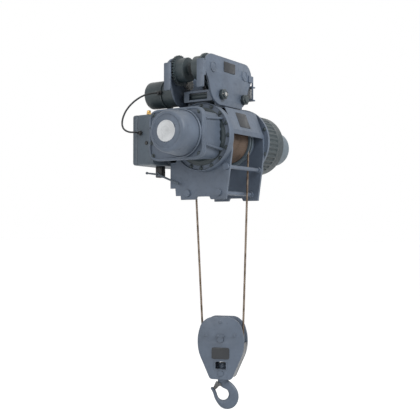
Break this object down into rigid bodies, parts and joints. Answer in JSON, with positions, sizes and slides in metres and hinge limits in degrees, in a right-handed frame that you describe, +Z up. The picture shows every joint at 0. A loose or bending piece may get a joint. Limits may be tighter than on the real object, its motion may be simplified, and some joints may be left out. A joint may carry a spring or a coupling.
{
  "type": "electric wire-rope hoist with beam trolley",
  "caption": "Electric wire-rope hoist on a motor-driven beam trolley, with a grooved rope drum between frame plates, a geared motor, a control box and a single-sheave hook block.",
  "frame": {"origin": "on the beam flange's running surface, midway between the trolley's side plates and its wheels", "axes": "+X along the rope drum towards the hoist motor, +Y across the beam towards the control box, +Z up"},
  "size_m": [0.95, 0.4869, 1.5768],
  "materials": {
    "black_plastic": "matte",
    "brass": "machined",
    "cast": "as cast",
    "dark_paint": "satin",
    "light_paint": "satin",
    "rope": "greased",
    "rubber": "matte",
    "slate_paint": "satin",
    "steel": "machined"
  },
  "bodies": {
    "frame": {"trolley_near_plate": "slate_paint", "trolley_far_plate": "slate_paint", "trolley_shafts": "steel", "axle_caps": "slate_paint", "roller_brackets": "slate_paint", "traverse_gearbox": "slate_paint", "traverse_motor_housing": "dark_paint", "traverse_stator": "steel", "top_deck": "slate_paint", "near_frame_plate": "slate_paint", "far_frame_plate": "slate_paint", "frame_bars": "steel", "rope_socket": "slate_paint", "drum_guard": "slate_paint", "bare_plates": "dark_paint", "gear_case_body": "slate_paint", "gear_case_cover": "slate_paint", "case_screws": "steel", "bearings": "steel", "far_flange": "dark_paint", "motor_housing": "dark_paint", "motor_shields": "dark_paint", "stator": "steel", "brake_magnet": "cast", "motor_end_cap": "light_paint", "control_box": "slate_paint", "control_box_lid": "slate_paint", "control_gear": "black_plastic", "cable_glands": "brass", "traverse_cable": "rubber", "limit_switch": "black_plastic", "fall_drum_side": "rope", "fall_anchor_side": "rope"},
    "drum": {"drum_barrel": "cast", "drum_hubs": "steel", "output_gear": "steel", "rope_winding": "rope"},
    "intermediate": {"intermediate_shaft": "steel"},
    "rotor": {"motor_shaft": "steel", "rotor_core": "steel", "brake_disc": "steel"},
    "guide": {"rope_guide": "slate_paint"},
    "hook_block": {"block_cheeks": "slate_paint", "block_plate": "dark_paint", "sheave_axle": "steel", "rope_on_sheave": "rope"},
    "sheave": {"sheave": "cast"},
    "crosshead": {"crosshead": "steel"},
    "hook": {"hook": "slate_paint"},
    "latch": {"hook_latch": "slate_paint"},
    "limit_lever": {"limit_lever": "steel"},
    "drive_wheel": {"drive_wheel": "cast"},
    "front_left_wheel": {"front_left_wheel": "cast"},
    "front_right_wheel": {"front_right_wheel": "cast"},
    "back_right_wheel": {"back_right_wheel": "cast"},
    "drive_shaft": {"drive_shaft": "steel"},
    "traverse_rotor": {"traverse_rotor": "steel"},
    "front_guide_roller": {"front_guide_roller": "steel"},
    "back_guide_roller": {"back_guide_roller": "steel"}
  },
  "joints": [
    {"name": "drum_turn", "type": "hinge", "parent": "frame", "child": "drum", "pos_m": [0, -0.015, -0.24], "axis": [1, 0, 0], "range_deg": [-468, 5580]},
    {"name": "intermediate_turn", "type": "hinge", "parent": "frame", "child": "intermediate", "pos_m": [0, 0.065, -0.24], "axis": [1, 0, 0], "range_deg": [-21892, 1837]},
    {"name": "motor_turn", "type": "hinge", "parent": "frame", "child": "rotor", "pos_m": [0, -0.015, -0.24], "axis": [1, 0, 0], "range_deg": [-8657, 103201]},
    {"name": "guide_travel", "type": "slide", "parent": "frame", "child": "guide", "axis": [1, 0, 0], "range_m": [-0.156, 0.015]},
    {"name": "block_lift", "type": "slide", "parent": "frame", "child": "hook_block", "axis": [0, 0, 1], "range_m": [-4.798, 0.404], "deforming": ["fall_drum_side", "fall_anchor_side"]},
    {"name": "sheave_turn", "type": "hinge", "parent": "hook_block", "child": "sheave", "pos_m": [0.111, 0.001, -1.143], "axis": [0.9511, 0.309, 0], "range_deg": [-247, 2925]},
    {"name": "crosshead_tilt", "type": "hinge", "parent": "hook_block", "child": "crosshead", "pos_m": [0.111, 0.001, -1.296], "axis": [0.9511, 0.309, 0], "range_deg": [-12, 12]},
    {"name": "hook_swivel", "type": "hinge", "parent": "crosshead", "child": "hook", "pos_m": [0.111, 0.001, -1.296], "axis": [0, 0, 1], "continuous": true},
    {"name": "latch_swing", "type": "hinge", "parent": "hook", "child": "latch", "pos_m": [0.10822, 0.00956, -1.35], "axis": [0.9511, 0.309, 0], "range_deg": [-35, 0], "stiffness_Nm_per_rad": 0.05, "springref_deg": 14.32},
    {"name": "limit_lever_swing", "type": "hinge", "parent": "frame", "child": "limit_lever", "pos_m": [-0.088, 0.224, -0.396], "axis": [1, 0, 0], "range_deg": [-12, 0], "stiffness_Nm_per_rad": 0.5, "springref_deg": 34.38},
    {"name": "drive_wheel_turn", "type": "hinge", "parent": "frame", "child": "drive_wheel", "pos_m": [-0.131, 0.07, 0.053], "axis": [0, 1, 0], "continuous": true},
    {"name": "drive_shaft_turn", "type": "hinge", "parent": "frame", "child": "drive_shaft", "pos_m": [-0.05891, 0.07, 0.00253], "axis": [0, 1, 0], "continuous": true},
    {"name": "traverse_motor_turn", "type": "hinge", "parent": "frame", "child": "traverse_rotor", "pos_m": [-0.06781, 0.15, -0.03313], "axis": [0, 1, 0], "continuous": true},
    {"name": "front_left_wheel_turn", "type": "hinge", "parent": "frame", "child": "front_left_wheel", "pos_m": [-0.131, -0.05, 0.053], "axis": [0, 1, 0], "continuous": true},
    {"name": "front_right_wheel_turn", "type": "hinge", "parent": "frame", "child": "front_right_wheel", "pos_m": [0.131, -0.05, 0.053], "axis": [0, 1, 0], "continuous": true},
    {"name": "back_right_wheel_turn", "type": "hinge", "parent": "frame", "child": "back_right_wheel", "pos_m": [0.131, 0.05, 0.053], "axis": [0, 1, 0], "continuous": true},
    {"name": "front_guide_roller_turn", "type": "hinge", "parent": "frame", "child": "front_guide_roller", "pos_m": [0.218, -0.0805, -0.016], "axis": [0, 0, 1], "continuous": true},
    {"name": "back_guide_roller_turn", "type": "hinge", "parent": "frame", "child": "back_guide_roller", "pos_m": [0.218, 0.0805, -0.016], "axis": [0, 0, 1], "continuous": true}
  ],
  "couplings": [
    {"joint": "intermediate_turn", "follows": "drum_turn", "ratio": -3.9231},
    {"joint": "motor_turn", "follows": "drum_turn", "ratio": 18.495},
    {"joint": "guide_travel", "follows": "drum_turn", "m_per_rad": -0.0015915},
    {"joint": "block_lift", "follows": "drum_turn", "m_per_rad": -0.04925},
    {"joint": "sheave_turn", "follows": "drum_turn", "ratio": 0.52394},
    {"joint": "drive_shaft_turn", "follows": "drive_wheel_turn", "ratio": -2.6667},
    {"joint": "traverse_motor_turn", "follows": "drive_wheel_turn", "ratio": 6.6667}
  ]
}
